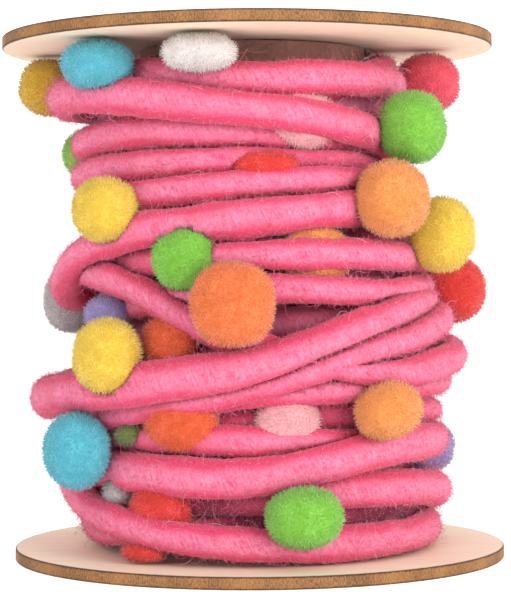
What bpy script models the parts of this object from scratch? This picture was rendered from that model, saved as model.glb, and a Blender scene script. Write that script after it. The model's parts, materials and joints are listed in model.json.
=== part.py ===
"""Roll of pompom trim: a soft pink wool cord with clipped pompoms, wound on a plywood and cardboard spool.

The spool is two laser-cut plywood discs glued to a cardboard tube. The cord is one winding of nineteen
loose turns over an inner layer, and the pompoms sit in it, each in a seat pressed into the turns.
Metres, +Z up, the origin under the middle of the lower disc. Bearings are degrees round the axis,
0 at the front (-Y), 90 on the right (+X), -90 on the left, 180 at the back.
"""

import math
from collections import namedtuple

import bmesh
import bpy
import numpy as np
from mathutils import Matrix, Vector
from mathutils.bvhtree import BVHTree

MM = 0.001

# Spool
DISC_DIAMETER = 100.0 * MM
DISC_THICKNESS = 2.5 * MM
DISC_CHAMFER = 0.2 * MM
DISC_SIDES = 96
DISC_SHIFT = 0.95 * MM          # each disc is glued this far off the axis, the two in opposite directions
OVERALL_HEIGHT = 106.0 * MM
CORE_DIAMETER = 46.0 * MM
CORE_WALL = 2.0 * MM
CORE_SIDES = 60
GAP = 0.3 * MM                  # clearance between separate pieces
SEAT_GAP = 0.35 * MM            # the same round a pompom, with a little over for the flat faces

# Winding
BEARINGS = 60                   # steps round the axis
LEVELS = 62                     # steps from the lower disc to the upper one
INNER_LAYER_RADIUS = 26.4 * MM
INNER_LAYER_RELIEF = 1.2 * MM
INNER_LAYER_PITCH = 7.0 * MM
INNER_SWELL = 4.4 * MM          # the inner layer is this much fuller at one place on the right
SWELL_BEARING = 84.0
SWELL_HEIGHT = 62.0 * MM
SWELL_SPAN = 40.0               # degrees
SWELL_RISE = 9.0 * MM
BORE_RADIUS = CORE_DIAMETER / 2 + GAP + 0.1 * MM
THINNEST_WALL = 1.0 * MM        # wool left between a pompom's seat and the core
CORD_FLATTENING = 0.92          # depth of the cord's section over its thickness, once pulled tight
PRESS_STEP = 0.2 * MM
PRESS_ROUNDS = 60
SEAT_SPAN = 60.0                # degrees either side of a pompom within which the turns are tested

# Pompoms
POMPOM_SIDES = 12
POMPOM_RINGS = 6
TUFT_RELIEF = 0.03              # how far the clipped tufts stand proud, over the pompom's radius
FULLNESS = 2.5                  # 2 is an ellipsoid, more is squarer, as a ball squeezed by the turns is

# Heights and reaches in mm. A turn runs from the back round the left, front and right to the back again,
# where the next one starts. Reach is from the axis to the cord's outer side; thick is the cord's height.
Turn = namedtuple("Turn", "name left front_left front front_right right back "
                          "reach_left reach_front reach_right reach_back thick")
START_HEIGHT = 99.0
START_REACH = 29.0
TURNS = [
    Turn("top_inner",    97.0, 93.0, 91.5, 95.5, 99.2, 98.0, 30.0, 29.5, 30.0, 31.0, 6.6),
    Turn("top",          96.0, 96.2, 94.8, 95.8, 95.6, 92.5, 33.0, 35.0, 32.0, 34.5, 6.9),
    Turn("second",       93.6, 92.0, 88.8, 85.6, 81.0, 86.0, 42.0, 38.0, 30.5, 34.0, 7.4),
    Turn("third",        84.2, 85.2, 84.2, 83.4, 86.5, 80.5, 37.0, 33.0, 28.0, 34.5, 6.4),
    Turn("fourth",       77.4, 78.9, 79.5, 79.3, 78.5, 74.0, 37.0, 33.4, 29.0, 35.0, 6.2),
    Turn("fifth",        71.5, 73.0, 74.7, 75.8, 74.5, 60.0, 36.5, 36.0, 29.5, 34.5, 5.8),
    Turn("rising_upper", 55.0, 64.6, 68.4, 71.0, 72.0, 66.5, 41.5, 38.5, 32.0, 36.5, 7.8),
    Turn("sixth",        61.0, 60.4, 61.0, 61.2, 60.2, 57.0, 33.5, 38.5, 36.4, 36.5, 5.8),
    Turn("falling",      60.0, 56.4, 43.8, 38.5, 41.5, 44.0, 39.0, 39.4, 43.8, 37.5, 6.6),
    Turn("seventh",      47.0, 51.5, 54.6, 54.2, 54.8, 43.0, 32.0, 38.5, 37.0, 40.5, 5.2),
    Turn("rising_middle", 33.0, 35.6, 40.4, 49.2, 52.0, 39.5, 45.6, 43.0, 38.0, 39.0, 8.4),
    Turn("rising_lower", 27.0, 31.0, 37.0, 44.0, 48.5, 35.0, 38.0, 41.0, 40.5, 38.0, 7.6),
    Turn("eighth",       29.5, 31.4, 35.0, 36.2, 36.0, 30.0, 36.0, 38.0, 40.4, 37.5, 6.0),
    Turn("ninth",        25.0, 27.0, 29.4, 31.0, 29.6, 25.0, 35.0, 34.0, 38.6, 38.5, 5.4),
    Turn("tenth",        24.0, 26.4, 26.0, 24.4, 23.2, 20.0, 36.0, 38.0, 35.0, 37.5, 6.2),
    Turn("eleventh",     21.0, 19.8, 19.6, 24.4, 24.0, 15.5, 36.5, 41.5, 39.6, 38.5, 7.8),
    Turn("twelfth",      12.4, 13.4, 14.8, 16.3, 13.6, 11.5, 34.5, 36.5, 40.2, 38.0, 7.4),
    Turn("thirteenth",   7.0,  7.4, 11.0, 11.8, 11.2, 12.5, 35.6, 34.2, 34.0, 37.0, 5.6),
    Turn("bottom",       16.2, 10.4, 6.6, 6.6, 7.0, 6.6, 39.4, 41.5, 37.8, 36.0, 6.6),
]

# Bearing in degrees, the rest in mm: height and out place the middle, wide, tall and deep are its size.
# slant turns it about the line from the axis. A pompom that is under lies beneath a turn of the cord.
Pompom = namedtuple("Pompom", "name colour bearing height out wide tall deep slant under")
POMPOMS = [
    Pompom("ochre_top_left",       "ochre",      -99.5, 97.0, 43.0, 13.4, 12.2, 12.8, 0, False),
    Pompom("cyan_top_left",        "cyan",        -48.0, 98.3, 40.0, 15.4, 9.8, 13.6, 0, False),
    Pompom("white_top",            "white",      -15.2, 99.6, 37.5, 15.4, 7.2, 11.6, 0, False),
    Pompom("rose_top_right",       "rose",         91.0, 96.8, 36.2, 14.8, 12.2, 13.6, 0, False),
    Pompom("green_right",          "green",       57.0, 86.2, 37.4, 13.8, 15.0, 13.6, 0, False),
    Pompom("blush_under",          "blush",       18.4, 87.4, 30.2, 15.2, 12.2, 8.2, 12, True),
    Pompom("red_peeking",          "red",          4.4, 77.9, 31.4, 13.8, 7.2, 7.6, 0, True),
    Pompom("green_left_edge",      "green",     -111.0, 83.4, 36.8, 13.0, 10.4, 12.0, 0, False),
    Pompom("yellow_left",          "yellow",      -44.4, 70.2, 40.5, 13.4, 12.8, 12.6, 0, False),
    Pompom("apricot_right",        "apricot",     43.6, 72.0, 39.0, 15.4, 15.4, 13.6, 0, False),
    Pompom("yellow_right",         "yellow",       65.6, 65.4, 41.0, 13.6, 15.4, 13.6, 0, False),
    Pompom("red_right",            "red",          95.0, 54.2, 41.6, 14.8, 14.2, 13.6, 0, False),
    Pompom("orange_under",         "apricot",      21.8, 61.0, 32.0, 16.0, 12.0, 8.6, 0, True),
    Pompom("green_middle",         "green",       -20.4, 60.5, 37.2, 13.0, 12.4, 9.8, 0, False),
    Pompom("orange_large",         "orange",       -4.9, 52.2, 44.0, 17.0, 16.6, 11.8, 0, False),
    Pompom("grey_left_edge",       "grey",      -108.0, 52.6, 40.0, 14.0, 14.6, 13.0, 0, False),
    Pompom("lavender_left",        "lavender",   -53.0, 49.9, 35.4, 10.8, 7.6, 9.0, 0, False),
    Pompom("yellow_left_lower",    "yellow",     -39.8, 42.4, 43.5, 14.0, 14.8, 12.4, 0, False),
    Pompom("red_orange_left",      "red_orange", -26.8, 44.7, 34.8, 12.0, 12.2, 8.6, 0, False),
    Pompom("cyan_left",            "cyan",        -52.0, 23.8, 43.6, 14.2, 15.4, 12.4, 0, False),
    Pompom("moss_peeking",         "moss",        -41.0, 27.0, 36.0, 6.4, 4.4, 6.6, 0, False),
    Pompom("red_orange_lower",     "red_orange", -23.0, 30.0, 35.6, 16.0, 12.6, 9.2, 0, True),
    Pompom("mauve_peeking",        "blush",       10.8, 29.4, 34.0, 13.4, 11.2, 8.2, 0, True),
    Pompom("apricot_lower_right",  "apricot",     37.0, 31.7, 42.4, 14.2, 10.8, 12.0, -16, False),
    Pompom("lavender_right_edge",  "lavender",   110.0, 21.0, 38.6, 13.4, 11.6, 12.4, 0, False),
    Pompom("red_lower",            "red",        -30.0, 13.0, 35.6, 14.0, 10.4, 8.8, 0, True),
    Pompom("grey_peeking",         "grey",       -47.4, 15.8, 35.6, 6.4, 6.4, 6.4, 0, False),
    Pompom("green_lower",          "green",       12.7, 12.3, 42.6, 15.4, 11.6, 13.0, 0, False),
    Pompom("red_on_disc",          "red",        -33.9, 4.8, 38.0, 9.8, 3.6, 6.4, 0, False),
    Pompom("yellow_back_upper",    "yellow",     130.0, 89.0, 37.6, 14.4, 14.0, 12.6, 0, False),
    Pompom("cyan_back_top",        "cyan",       164.0, 96.0, 38.2, 14.8, 12.6, 12.6, 0, False),
    Pompom("orange_back_top",      "orange",    -150.0, 92.0, 38.6, 14.6, 13.8, 12.6, 0, False),
    Pompom("rose_back_upper",      "rose",       -166.0, 79.0, 38.6, 14.2, 14.6, 12.6, 0, False),
    Pompom("white_back_upper",     "white",       162.0, 70.0, 38.8, 15.0, 13.2, 12.6, 0, False),
    Pompom("cyan_back_left",       "cyan",      -136.0, 70.0, 39.4, 14.4, 14.2, 12.6, 0, False),
    Pompom("green_back_right",     "green",       133.0, 73.0, 37.6, 14.0, 13.8, 12.6, 0, False),
    Pompom("lavender_back",        "lavender",   176.0, 55.0, 40.4, 14.6, 14.4, 12.6, 0, False),
    Pompom("yellow_back_left",     "yellow",    -146.0, 47.5, 40.4, 14.2, 14.6, 12.6, 0, False),
    Pompom("orange_back_right",    "orange",     143.0, 47.0, 41.2, 15.0, 14.0, 12.6, 0, False),
    Pompom("red_back_left",        "red",        -134.0, 32.6, 41.6, 14.4, 13.6, 12.6, 0, False),
    Pompom("green_back_lower",     "green",     -164.0, 31.0, 40.8, 14.8, 13.8, 12.6, 0, False),
    Pompom("apricot_back_lower",   "apricot",    160.0, 24.0, 41.0, 14.4, 14.6, 12.6, 0, False),
    Pompom("blush_back_lower",     "blush",      128.0, 10.4, 40.4, 14.6, 12.4, 12.6, 0, False),
    Pompom("yellow_back_bottom",   "yellow",    -140.0, 13.0, 40.6, 14.2, 13.8, 12.6, 0, False),
    Pompom("white_back_bottom",    "white",      176.0, 10.0, 40.2, 14.4, 11.8, 12.6, 0, False),
]

# Finish: linear colours, and how rough each kind of surface is
SOFT_ROUGHNESS = 0.9
PLYWOOD_ROUGHNESS = 0.6
SHARP_ANGLE = 40.0              # degrees between faces that are shaded as an edge
COLOURS = {
    "cord": (0.84, 0.10, 0.22),
    "plywood": (0.76, 0.55, 0.40),
    "cardboard": (0.15, 0.06, 0.045),
    "ochre": (0.70, 0.42, 0.03),
    "cyan": (0.10, 0.50, 0.62),
    "white": (0.80, 0.74, 0.72),
    "rose": (0.82, 0.08, 0.13),
    "green": (0.22, 0.56, 0.05),
    "blush": (0.86, 0.40, 0.42),
    "red": (0.76, 0.04, 0.03),
    "yellow": (0.88, 0.60, 0.06),
    "apricot": (0.88, 0.32, 0.08),
    "orange": (0.86, 0.20, 0.05),
    "grey": (0.50, 0.46, 0.46),
    "lavender": (0.34, 0.27, 0.55),
    "red_orange": (0.82, 0.12, 0.03),
    "moss": (0.16, 0.22, 0.05),
}


def clear_scene():
    for item in list(bpy.data.objects):
        bpy.data.objects.remove(item, do_unlink=True)


def material(name, roughness=SOFT_ROUGHNESS):
    found = bpy.data.materials.get(name)
    if found:
        return found
    made = bpy.data.materials.new(name)
    made.use_nodes = True
    shader = made.node_tree.nodes["Principled BSDF"]
    shader.inputs["Base Color"].default_value = (*COLOURS[name], 1.0)
    shader.inputs["Roughness"].default_value = roughness
    shader.inputs["Metallic"].default_value = 0.0
    return made


def add_object(name, bm, finish):
    """Turns a bmesh into a named object with one material."""
    mesh = bpy.data.meshes.new(name)
    bm.to_mesh(mesh)
    bm.free()
    mesh.materials.append(finish)
    mesh.shade_smooth()
    mesh.set_sharp_from_angle(angle=math.radians(SHARP_ANGLE))
    made = bpy.data.objects.new(name, mesh)
    bpy.context.collection.objects.link(made)
    return made


def bridge_rings(bm, rings):
    """Closes a run of equal rings, the last joined to the first, into one wall.

    Each ring runs with the bearing and the rings go up the outer side first, so the faces point out.
    """
    for lower, upper in zip(rings, rings[1:] + rings[:1]):
        count = len(lower)
        for i in range(count):
            j = (i + 1) % count
            bm.faces.new((lower[i], lower[j], upper[j], upper[i]))


# Smooth paths of the turns

def smooth(knots, values, at):
    """Cubic through the values, with slopes taken from each knot's neighbours."""
    knots = np.asarray(knots, float)
    values = np.asarray(values, float)
    slopes = np.gradient(values, knots)
    i = np.clip(np.searchsorted(knots, at, side="right") - 1, 0, len(knots) - 2)
    span = knots[i + 1] - knots[i]
    t = (at - knots[i]) / span
    rise = values[i + 1] - values[i]
    first = slopes[i] * span
    last = slopes[i + 1] * span
    return values[i] + t * (first + t * ((3 * rise - 2 * first - last) + t * (first + last - 2 * rise)))


def turn_height(at):
    """Height of the cord's middle at an angle counted on from turn to turn."""
    knots, values = [-180.0], [START_HEIGHT]
    for number, turn in enumerate(TURNS):
        for bearing, height in ((-90, turn.left), (-45, turn.front_left), (0, turn.front),
                                (45, turn.front_right), (90, turn.right), (180, turn.back)):
            knots.append(360.0 * number + bearing)
            values.append(height)
    return smooth(knots, values, at) * MM


def turn_reach(at):
    """Distance from the axis to the cord's outer side at the same angle."""
    knots, values = [-180.0], [START_REACH]
    for number, turn in enumerate(TURNS):
        for bearing, reach in ((-90, turn.reach_left), (0, turn.reach_front),
                               (90, turn.reach_right), (180, turn.reach_back)):
            knots.append(360.0 * number + bearing)
            values.append(reach)
    return smooth(knots, values, at) * MM


def winding_surface():
    """Heights and radii of the winding's outer side, one row for each bearing."""
    bearings = np.linspace(-180.0, 180.0, BEARINGS, endpoint=False)
    half = np.array([turn.thick for turn in TURNS]) * MM / 2
    numbers = np.arange(len(TURNS)) * 360.0
    floor = DISC_THICKNESS + GAP
    ceiling = OVERALL_HEIGHT - DISC_THICKNESS - GAP
    heights = np.zeros((BEARINGS, LEVELS))
    radii = np.zeros((BEARINGS, LEVELS))
    for row, bearing in enumerate(bearings):
        middle = turn_height(numbers + bearing)
        deep = half * CORD_FLATTENING
        centre = turn_reach(numbers + bearing) - deep
        low = max(floor, (middle - half).min())
        high = min(ceiling, (middle + half).max())
        z = np.linspace(low, high, LEVELS)
        ripple = np.cos(math.tau * (z / INNER_LAYER_PITCH - bearing / 360.0))
        off = ((bearing - SWELL_BEARING) / SWELL_SPAN) ** 2 + ((z - SWELL_HEIGHT) / SWELL_RISE) ** 2
        r = INNER_LAYER_RADIUS + INNER_LAYER_RELIEF * ripple + INNER_SWELL * np.exp(-off ** 2)
        for m, h, c, d in zip(middle, half, centre, deep):
            across = 1 - ((z - m) / h) ** 2
            r = np.where(across >= 0, np.maximum(r, c + d * np.sqrt(np.abs(across))), r)
        heights[row] = z
        radii[row] = r
    return bearings, heights, radii


# Pompoms

def pompom_frame(pompom):
    """Place and turn of a pompom: its own X lies across, -Y points out from the axis, and Z is up."""
    angle = math.radians(pompom.bearing)
    outward = Vector((math.sin(angle), -math.cos(angle), 0))
    place = outward * pompom.out * MM + Vector((0, 0, pompom.height * MM))
    turned = Matrix.Rotation(angle, 4, "Z") @ Matrix.Rotation(math.radians(pompom.slant), 4, "Y")
    return Matrix.Translation(place) @ turned


def pompom_mesh(pompom, extra=0.0, tufts=True):
    """A ball of the pompom's size, grown by extra all round, its clipped tufts raised in turn."""
    bm = bmesh.new()
    bmesh.ops.create_uvsphere(bm, u_segments=POMPOM_SIDES, v_segments=POMPOM_RINGS, radius=1.0)
    half = Vector((pompom.wide, pompom.deep, pompom.tall)) * MM / 2
    for vertex in bm.verts:
        side = round(math.atan2(vertex.co.y, vertex.co.x) / math.tau * POMPOM_SIDES)
        ring = round(math.acos(max(-1.0, min(1.0, vertex.co.z))) / math.pi * POMPOM_RINGS)
        between = tufts and (side + ring) % 2 == 1
        fuller = sum(abs(c) ** FULLNESS for c in vertex.co) ** (-1 / FULLNESS)
        reach = fuller * (1 - TUFT_RELIEF if between else 1.0)
        vertex.co = Vector(c * (h * reach + extra) for c, h in zip(vertex.co, half))
    bm.transform(pompom_frame(pompom))
    return bm


def seat_radii(pompom, bearings, heights, extra):
    """Radius at which each of the winding's points meets the inner side of the pompom, grown by extra."""
    into = pompom_frame(pompom).inverted()
    half = Vector((pompom.wide, pompom.deep, pompom.tall)) * MM / 2 + Vector((extra, extra, extra))
    met = np.full(heights.shape, np.inf)
    for row, bearing in enumerate(bearings):
        angle = math.radians(bearing)
        outward = Vector((math.sin(angle), -math.cos(angle), 0))
        if abs((bearing - pompom.bearing + 180) % 360 - 180) > SEAT_SPAN:
            continue
        along = into.to_3x3() @ outward
        a = np.array([along[i] / half[i] for i in range(3)])
        for level in range(heights.shape[1]):
            start = into @ Vector((0, 0, heights[row, level]))
            b = np.array([start[i] / half[i] for i in range(3)])
            root = (a @ b) ** 2 - (a @ a) * (b @ b - 1)
            if root > 0:
                met[row, level] = (-(a @ b) - math.sqrt(root)) / (a @ a)
    return met


def build_winding():
    """The whole winding as one solid, with a seat pressed into it for each pompom."""
    bearings, heights, radii = winding_surface()
    lowest = BORE_RADIUS + THINNEST_WALL
    on_top = [p for p in POMPOMS if not p.under]
    for pompom in on_top:
        radii = np.minimum(radii, seat_radii(pompom, bearings, heights, SEAT_GAP))
    radii = np.maximum(radii, lowest)

    bm = bmesh.new()
    outward = [Vector((math.sin(math.radians(b)), -math.cos(math.radians(b)), 0)) for b in bearings]
    rings = [[bm.verts.new(outward[i] * radii[i, level] + Vector((0, 0, heights[i, level])))
              for i in range(BEARINGS)] for level in range(LEVELS)]
    top_bore, low_bore = ([bm.verts.new(outward[i] * BORE_RADIUS + Vector((0, 0, heights[i, level])))
                           for i in range(BEARINGS)] for level in (-1, 0))
    bridge_rings(bm, rings + [top_bore, low_bore])
    bmesh.ops.triangulate(bm, faces=bm.faces)
    press_seats(bm, on_top, lowest)
    made = add_object("winding", bm, material("cord"))
    for pompom in POMPOMS:
        if pompom.under:
            cut_seat(made, pompom)
    return made


def press_seats(bm, pompoms, lowest):
    """Presses the winding in, a little at a time, until every pompom has its clearance."""
    for pompom in pompoms:
        grown = pompom_mesh(pompom, extra=SEAT_GAP, tufts=False)
        ball = BVHTree.FromBMesh(grown)
        for _ in range(PRESS_ROUNDS):
            bm.faces.ensure_lookup_table()
            hits = BVHTree.FromBMesh(bm).overlap(ball)
            pressed = {vertex for face, _ in hits for vertex in bm.faces[face].verts}
            moved = False
            for vertex in pressed:
                radius = math.hypot(vertex.co.x, vertex.co.y)
                if radius > lowest:
                    ratio = max(lowest, radius - PRESS_STEP) / radius
                    vertex.co.x *= ratio
                    vertex.co.y *= ratio
                    moved = True
            if not moved:
                break
        grown.free()


def cut_seat(winding, pompom):
    """Cuts the room of a pompom that lies beneath a turn, which then bridges it."""
    grown = pompom_mesh(pompom, extra=SEAT_GAP, tufts=False)
    cutter = add_object("seat_" + pompom.name, grown, material("cord"))
    cutter.hide_render = True
    cutter.display_type = "WIRE"
    cut = winding.modifiers.new("seat_" + pompom.name, "BOOLEAN")
    cut.operation = "DIFFERENCE"
    cut.solver = "EXACT"
    cut.object = cutter


def build_pompom(pompom):
    return add_object("pompom_" + pompom.name, pompom_mesh(pompom), material(pompom.colour))


# Spool

def build_disc(name, bottom, shift):
    """One plywood disc with its edges just broken."""
    bm = bmesh.new()
    bmesh.ops.create_cone(bm, cap_ends=True, segments=DISC_SIDES, radius1=DISC_DIAMETER / 2,
                          radius2=DISC_DIAMETER / 2, depth=DISC_THICKNESS)
    rims = [e for e in bm.edges if abs(e.verts[0].co.z - e.verts[1].co.z) < DISC_THICKNESS / 2]
    bmesh.ops.bevel(bm, geom=rims, offset=DISC_CHAMFER, segments=1, affect="EDGES")
    bmesh.ops.translate(bm, verts=bm.verts, vec=(shift, 0, bottom + DISC_THICKNESS / 2))
    return add_object(name, bm, material("plywood", PLYWOOD_ROUGHNESS))


def build_core():
    """Cardboard tube between the discs."""
    bottom = DISC_THICKNESS + GAP
    top = OVERALL_HEIGHT - DISC_THICKNESS - GAP
    outer = CORE_DIAMETER / 2
    inner = outer - CORE_WALL
    bm = bmesh.new()
    rings = []
    for radius, height in ((outer, bottom), (outer, top), (inner, top), (inner, bottom)):
        angles = [math.tau * i / CORE_SIDES for i in range(CORE_SIDES)]
        rings.append([bm.verts.new((radius * math.sin(a), -radius * math.cos(a), height)) for a in angles])
    bridge_rings(bm, rings)
    return add_object("core", bm, material("cardboard"))


def main():
    clear_scene()
    build_disc("flange_bottom", 0.0, DISC_SHIFT)
    build_disc("flange_top", OVERALL_HEIGHT - DISC_THICKNESS, -DISC_SHIFT)
    build_core()
    build_winding()
    for pompom in POMPOMS:
        build_pompom(pompom)


main()
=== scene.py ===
"""Roll of pompom trim: felted pink cord with clipped pompoms, wound on a plywood and cardboard spool.

The spool keeps the frame's own solids. The cord, the inner layer beneath it and the pompoms are
modelled here, the cord as one length that is squeezed by its neighbours as it goes round.
Metres, +Z up. Bearings are degrees round the axis, 0 at the front (-Y), 90 on the right (+X).
"""

import json
import math
from collections import namedtuple

import bmesh
import bpy
import numpy as np
from bpy.props import FloatProperty, FloatVectorProperty, IntProperty, PointerProperty
from mathutils import Matrix, Vector, noise


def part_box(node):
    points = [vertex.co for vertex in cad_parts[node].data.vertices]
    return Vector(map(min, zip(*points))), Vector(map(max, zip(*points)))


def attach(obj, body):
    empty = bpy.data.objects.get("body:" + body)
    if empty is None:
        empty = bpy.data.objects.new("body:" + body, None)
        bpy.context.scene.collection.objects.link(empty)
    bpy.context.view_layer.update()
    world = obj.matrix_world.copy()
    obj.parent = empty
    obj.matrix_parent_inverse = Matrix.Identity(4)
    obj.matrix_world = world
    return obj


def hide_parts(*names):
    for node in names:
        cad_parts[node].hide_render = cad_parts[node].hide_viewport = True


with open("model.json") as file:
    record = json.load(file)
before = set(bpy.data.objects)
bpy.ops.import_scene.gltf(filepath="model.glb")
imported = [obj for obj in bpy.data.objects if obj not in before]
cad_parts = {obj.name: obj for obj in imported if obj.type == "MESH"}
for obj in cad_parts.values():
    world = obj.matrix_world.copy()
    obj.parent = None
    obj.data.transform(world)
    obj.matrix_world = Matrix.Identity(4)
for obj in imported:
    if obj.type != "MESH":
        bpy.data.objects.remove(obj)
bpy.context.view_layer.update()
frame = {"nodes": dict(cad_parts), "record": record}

bl_info = {
    "name": "Roll of Pompom Trim",
    "version": (1, 0, 0),
    "blender": (4, 5, 0),
    "location": "View3D > Sidebar > Pompom Trim",
    "description": "Dresses a wound spool with felted cord, clipped pompoms, plywood and cardboard",
    "category": "Add Mesh",
}

MM = 0.001
BODY = "root"
RECORD = frame["record"]
SLOT_COLOURS = {row["slot"]: tuple(row["base_color"]) for row in RECORD["materials"]}
NODE_SLOTS = {row["node"]: row["material_slot"] for row in RECORD["subparts"]}

# Spool, measured on the frame
DISCS = {name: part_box(name) for name in ("flange_bottom", "flange_top")}
CORE_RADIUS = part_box("core")[1].x
DISC_CLEARANCE = 0.3 * MM
FLOOR = DISCS["flange_bottom"][1].z + DISC_CLEARANCE
CEILING = DISCS["flange_top"][0].z - DISC_CLEARANCE

# The cord's path. Heights and reaches in mm. A turn runs from the back round the left, front and right
# to the back again. Reach is from the axis to the cord's outer side; thick is the cord's height.
Turn = namedtuple("Turn", "name left front_left front front_right right back "
                          "reach_left reach_front reach_right reach_back thick")
HEIGHT_BEARINGS = {"left": -90.0, "front_left": -45.0, "front": 0.0, "front_right": 45.0, "right": 90.0,
                   "back": 180.0}
REACH_BEARINGS = {"reach_left": -90.0, "reach_front": 0.0, "reach_right": 90.0, "reach_back": 180.0}
START_HEIGHT = 99.0
START_REACH = 29.0
TURNS = [Turn(*row) for row in (
    ("top_inner",    97.0, 93.0, 91.5, 95.5, 99.2, 98.0, 30.0, 29.5, 30.0, 31.0, 6.6),
    ("top",          96.0, 96.2, 94.8, 95.8, 95.6, 92.5, 33.0, 35.0, 32.0, 34.5, 6.9),
    ("second",       93.6, 92.0, 88.8, 85.6, 81.0, 86.0, 42.0, 38.0, 30.5, 34.0, 7.4),
    ("third",        84.2, 85.2, 84.2, 83.4, 86.5, 80.5, 37.0, 33.0, 28.0, 34.5, 6.4),
    ("fourth",       77.4, 78.9, 79.5, 79.3, 78.5, 74.0, 37.0, 33.4, 29.0, 35.0, 6.2),
    ("fifth",        71.5, 73.0, 74.7, 75.8, 74.5, 60.0, 36.5, 36.0, 29.5, 34.5, 5.8),
    ("rising_upper", 55.0, 64.6, 68.4, 71.0, 72.0, 66.5, 41.5, 38.5, 32.0, 36.5, 7.8),
    ("sixth",        61.0, 60.4, 61.0, 61.2, 60.2, 57.0, 33.5, 38.5, 36.4, 36.5, 5.8),
    ("falling",      60.0, 56.4, 43.8, 38.5, 41.5, 44.0, 39.0, 39.4, 43.8, 37.5, 6.6),
    ("seventh",      47.0, 51.5, 54.6, 54.2, 54.8, 43.0, 32.0, 38.5, 37.0, 40.5, 5.2),
    ("rising_middle", 33.0, 35.6, 40.4, 49.2, 52.0, 39.5, 45.6, 43.0, 38.0, 39.0, 8.4),
    ("rising_lower", 27.0, 31.0, 37.0, 44.0, 48.5, 35.0, 38.0, 41.0, 40.5, 38.0, 7.6),
    ("eighth",       29.5, 31.4, 35.0, 36.2, 36.0, 30.0, 36.0, 38.0, 40.4, 37.5, 6.0),
    ("ninth",        25.0, 27.0, 29.4, 31.0, 29.6, 25.0, 35.0, 34.0, 38.6, 38.5, 5.4),
    ("tenth",        24.0, 26.4, 26.0, 24.4, 23.2, 20.0, 36.0, 38.0, 35.0, 37.5, 6.2),
    ("eleventh",     21.0, 19.8, 19.6, 24.4, 24.0, 15.5, 36.5, 41.5, 39.6, 38.5, 7.8),
    ("twelfth",      12.4, 13.4, 14.8, 16.3, 13.6, 11.5, 34.5, 36.5, 40.2, 38.0, 7.4),
    ("thirteenth",   7.0,  7.4, 11.0, 11.8, 11.2, 12.5, 35.6, 34.2, 34.0, 37.0, 5.6),
    ("bottom",       16.2, 10.4, 6.6, 6.6, 7.0, 6.6, 39.4, 41.5, 37.8, 36.0, 6.6),
)]
CORD_FLATTENING = 0.92      # depth of the cord's section over its thickness
OWN_THICKNESS = 120.0       # degrees either side of the front where a turn keeps its own thickness
CORNER_POWER = 3.8          # how sharply a section turns where it is pressed flat
TOUCH_FROM = -0.3 * MM      # overlap at which two turns begin to flatten each other
TOUCH_FULL = 0.7 * MM       # overlap at which they are flattened fully
SQUASHED = 0.3              # least half thickness a neighbour may leave, over the free one
GRAZING = 0.05              # directions that turn less towards a neighbour than this run past it
RECESS_SPAN = 11.0 * MM     # height within which a turn that stands further out shades its neighbour
RECESS_FADE = 4.0 * MM      # the shade fades in over this much height at either end of the span
END_TAPER = 3.0 * MM
UV_NAME = "along_and_round"
FIBRE_RUN = 9.0 * MM        # how far a fibre leans along the cord on its way once round it
FIBRES_A_METRE = 2100.0
LOCKS_A_METRE = 330.0

# Inner layer, an even coil on the core
INNER_LOW = 6.0 * MM
INNER_HIGH = 95.0 * MM
INNER_PITCH = 7.0 * MM
INNER_HALF = 3.6 * MM
INNER_REACH = 27.4 * MM     # least distance from the axis to the layer's outer side
INNER_DEPTH = 7.0 * MM      # how far the layer lies beneath the outer turns where they stand further out
Swell = namedtuple("Swell", "bearing height more")
SWELLS = (                  # where the layer is fuller, with its height and its swell in mm
    Swell(84.0, 62.0, 5.6),
    Swell(136.0, 60.5, 5.6),
)
SWELL_SPAN = 40.0           # degrees
SWELL_RISE = 9.0            # mm

# Pompoms
FULLNESS = 2.2              # 2 is an ellipsoid, more is squarer, as a ball squeezed by the turns is
SLANTS = {"pompom_blush_under": 12.0, "pompom_apricot_lower_right": -16.0}
ALL_TURNS = tuple(turn.name for turn in TURNS)
OVER = {                    # turns that pass over a ball unpressed, where the cord holds it down
    "pompom_blush_under": ALL_TURNS,
    "pompom_orange_under": ALL_TURNS,
    "pompom_red_peeking": ("fifth",),
    "pompom_red_orange_lower": ALL_TURNS,
    "pompom_mauve_peeking": ALL_TURNS,
    "pompom_red_lower": ALL_TURNS,
}
SEAT_DEPTH = 0.5 * MM       # how far the cord may reach into a ball's pile
BARE_RING = 0.1 * MM        # cord that stays bare of fibres round a ball
HALVINGS = 20               # steps in the search for a ball's inner side

# Camera, at the viewing angle of the picture
CAMERA_PLACE = (0.00097, -0.42695, 0.05707)
CAMERA_YAW = 0.0012
CAMERA_PITCH = -0.0110
CAMERA_ROLL = 0.0068
FOCAL_PIXELS = 2074.0
IMAGE_HEIGHT = 600.0
SENSOR = 36.0


# Settings that a user may change

def colour(name, description, default):
    return FloatVectorProperty(name=name, description=description, default=default, subtype="COLOR",
                               size=3, min=0.0, max=1.0)


def length(name, description, default):
    return FloatProperty(name=name, description=description, default=default, min=0.0, unit="LENGTH",
                         precision=5)


def amount(name, description, default, most, **more):
    return FloatProperty(name=name, description=description, default=default, min=0.0, max=most, **more)


def number_of(name, description, default, least, most):
    return IntProperty(name=name, description=description, default=default, min=least, max=most)


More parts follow.
